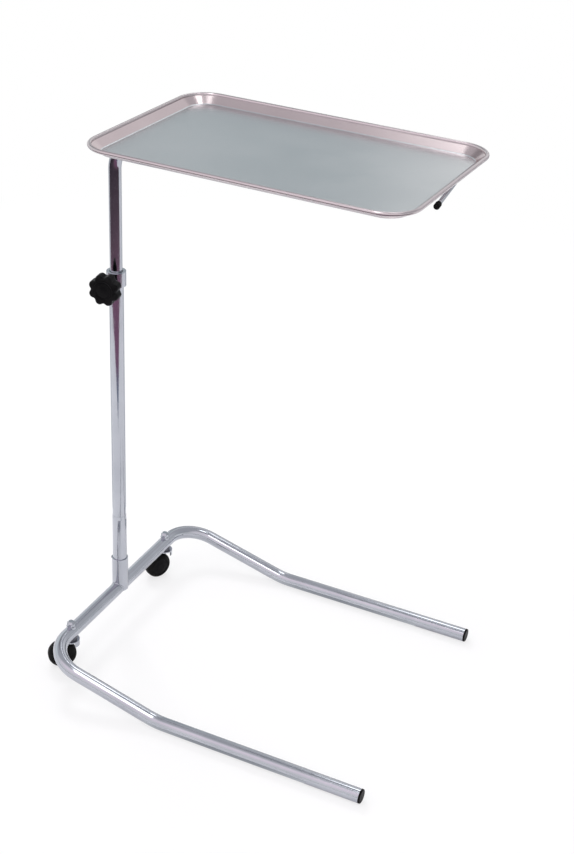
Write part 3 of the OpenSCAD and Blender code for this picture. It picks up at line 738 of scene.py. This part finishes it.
def build_camera():
    ahead = Vector((
        math.sin(CAMERA_YAW) * math.cos(CAMERA_PITCH),
        math.cos(CAMERA_YAW) * math.cos(CAMERA_PITCH),
        -math.sin(CAMERA_PITCH),
    ))
    level = Vector((math.cos(CAMERA_YAW), -math.sin(CAMERA_YAW), 0))
    below = ahead.cross(level)
    right = math.cos(CAMERA_ROLL) * level + math.sin(CAMERA_ROLL) * below
    down = -math.sin(CAMERA_ROLL) * level + math.cos(CAMERA_ROLL) * below
    data = bpy.data.cameras.new("photo_camera")
    data.sensor_width = SENSOR_MM
    data.lens = FOCAL_PX * data.sensor_width / PHOTO_H
    data.clip_end = CLIP_END
    camera = bpy.data.objects.new("photo_camera", data)
    axes = Matrix((right, -down, -ahead)).transposed().to_4x4()
    camera.matrix_world = Matrix.Translation(post_axis + CAMERA_FROM_POST) @ axes
    bpy.context.scene.collection.objects.link(camera)
    bpy.context.scene.camera = camera


def build_cards():
    near = card_material("near_card", NEAR_STOPS, NEAR_FADE, radial=True)
    add_card("near_card", floor_sector(NEAR_LEFT, NEAR_RIGHT), near, post_axis)
    far = card_material("far_card", FAR_STOPS, FAR_FADE, radial=True)
    add_card("far_card", floor_sector(FAR_LEFT, FAR_RIGHT), far, post_axis)
    front = card_material("front_card", FRONT_STOPS, FRONT_X)
    add_card("front_card", rectangle(FRONT_X, FRONT_Y, LAMP_Z), front)
    edge = card_material("edge_card", EDGE_STOPS, EDGE_FADE)
    add_card("edge_card", upright(EDGE_START, EDGE_END, EDGE_Z), edge)
    corner, _, _ = glow_material("corner_card", CORNER_COLOUR)
    add_card("corner_card", upright(CORNER_START, CORNER_END, CORNER_Z), corner)
    # Dark strips on the floor beside each leg, seen only in reflections: painted contact shadow
    shade = card_material("shade_card", SHADE_STOPS, SHADE_X)
    for y in (-leg_y, leg_y):
        add_card("shade_card", rectangle(SHADE_X, (y - SHADE_W, y), CARD_LIFT), shade)


def build_lamps():
    """Four softboxes that show in metal, and a key and a fill that don't."""
    add_lamp(
        "corner_softbox",
        place=(1.02, 1.0, 6.0),
        target=(-0.19, 0.12, 0.88),
        size=(0.9, 0.9),
        power=12,
    )
    add_lamp(
        "front_softbox",
        place=(-0.17, -1.1, LAMP_Z),
        target=(-0.17, -0.8, 0.0),
        size=(0.5, 1.8),
        power=8,
    )
    add_lamp(
        "back_softbox",
        place=(-0.45, 1.65, LAMP_Z),
        target=(-0.45, 1.2, 0.5),
        size=(0.5, 1.1),
        power=4.1,
    )
    side = add_lamp(
        "side_softbox",
        place=(-0.36, 0.0, LAMP_Z),
        target=(0.2, 0.13, 0.88),
        size=(0.3, 0.4),
        power=0.72,
    )
    side.data.color = (0.95, 0.98, 0.98)
    key = add_lamp("key", place=(-2.2, 2.2, 3.2), target=(0, 0, 0), size=(1, 1), power=48)
    fill = add_lamp("fill", place=(0, 1.5, 7), target=(0, 1.5, 0), size=(14, 14), power=50)
    key.visible_glossy = False
    fill.visible_glossy = False


bpy.context.scene.view_settings.view_transform = "Standard"
chrome = chrome_material()
tray_steel = tray_material("satin_stainless", (0.58, 0.595, 0.61), (0.62, 0.63, 0.645))
# Pink tint of the tray's walls: painted reflection
wall_painted_reflection_steel = tray_material("wall_painted_reflection", (0.58, 0.50, 0.505), (0.62, 0.535, 0.54))
# Darker, pinker bead: painted reflection
rim_painted_reflection_steel = tray_material("rim_painted_reflection", (0.53, 0.48, 0.49), (0.57, 0.52, 0.53))
plastic = ((0.003, 0.003, 0.0035), (0.007, 0.007, 0.0075))
rubber = ((0.004, 0.004, 0.004), (0.009, 0.009, 0.009))
tyre = ((0.004, 0.004, 0.004), (0.010, 0.010, 0.010))
hub = ((0.004, 0.004, 0.0045), (0.009, 0.009, 0.0095))
slot_materials = {
    "chrome": chrome,
    "tray_steel": tray_steel,
    "zinc": zinc_material(),
    "race_steel": dark_steel_material(),
    "black_plastic": moulded_material("black_plastic", *plastic, roughness=0.38, grain=900, depth=0.0003),
    "black_rubber": moulded_material("black_rubber", *rubber, roughness=0.6, grain=1200, depth=0.0003),
    "tyre_rubber": moulded_material("tyre_rubber", *tyre, roughness=0.55, grain=700, depth=0.0004),
    "hub_plastic": moulded_material("hub_plastic", *hub, roughness=0.42, grain=900, depth=0.0003),
}
for subpart in frame["record"]["subparts"]:
    node = nodes[subpart["node"]]
    node.data.materials.clear()
    node.data.materials.append(slot_materials[subpart["material_slot"]])

base_tube(chrome)
mast_tube(chrome)
tray_sheet(tray_steel, wall_painted_reflection_steel, rim_painted_reflection_steel)
knob_body(slot_materials["black_plastic"])
socket_weld(chrome)

build_world()
floor_span = (-FLOOR_HALF, FLOOR_HALF)
add_panel("floor", rectangle(floor_span, floor_span, 0), floor_material())
build_cards()
add_backdrop()
build_lamps()
build_camera()
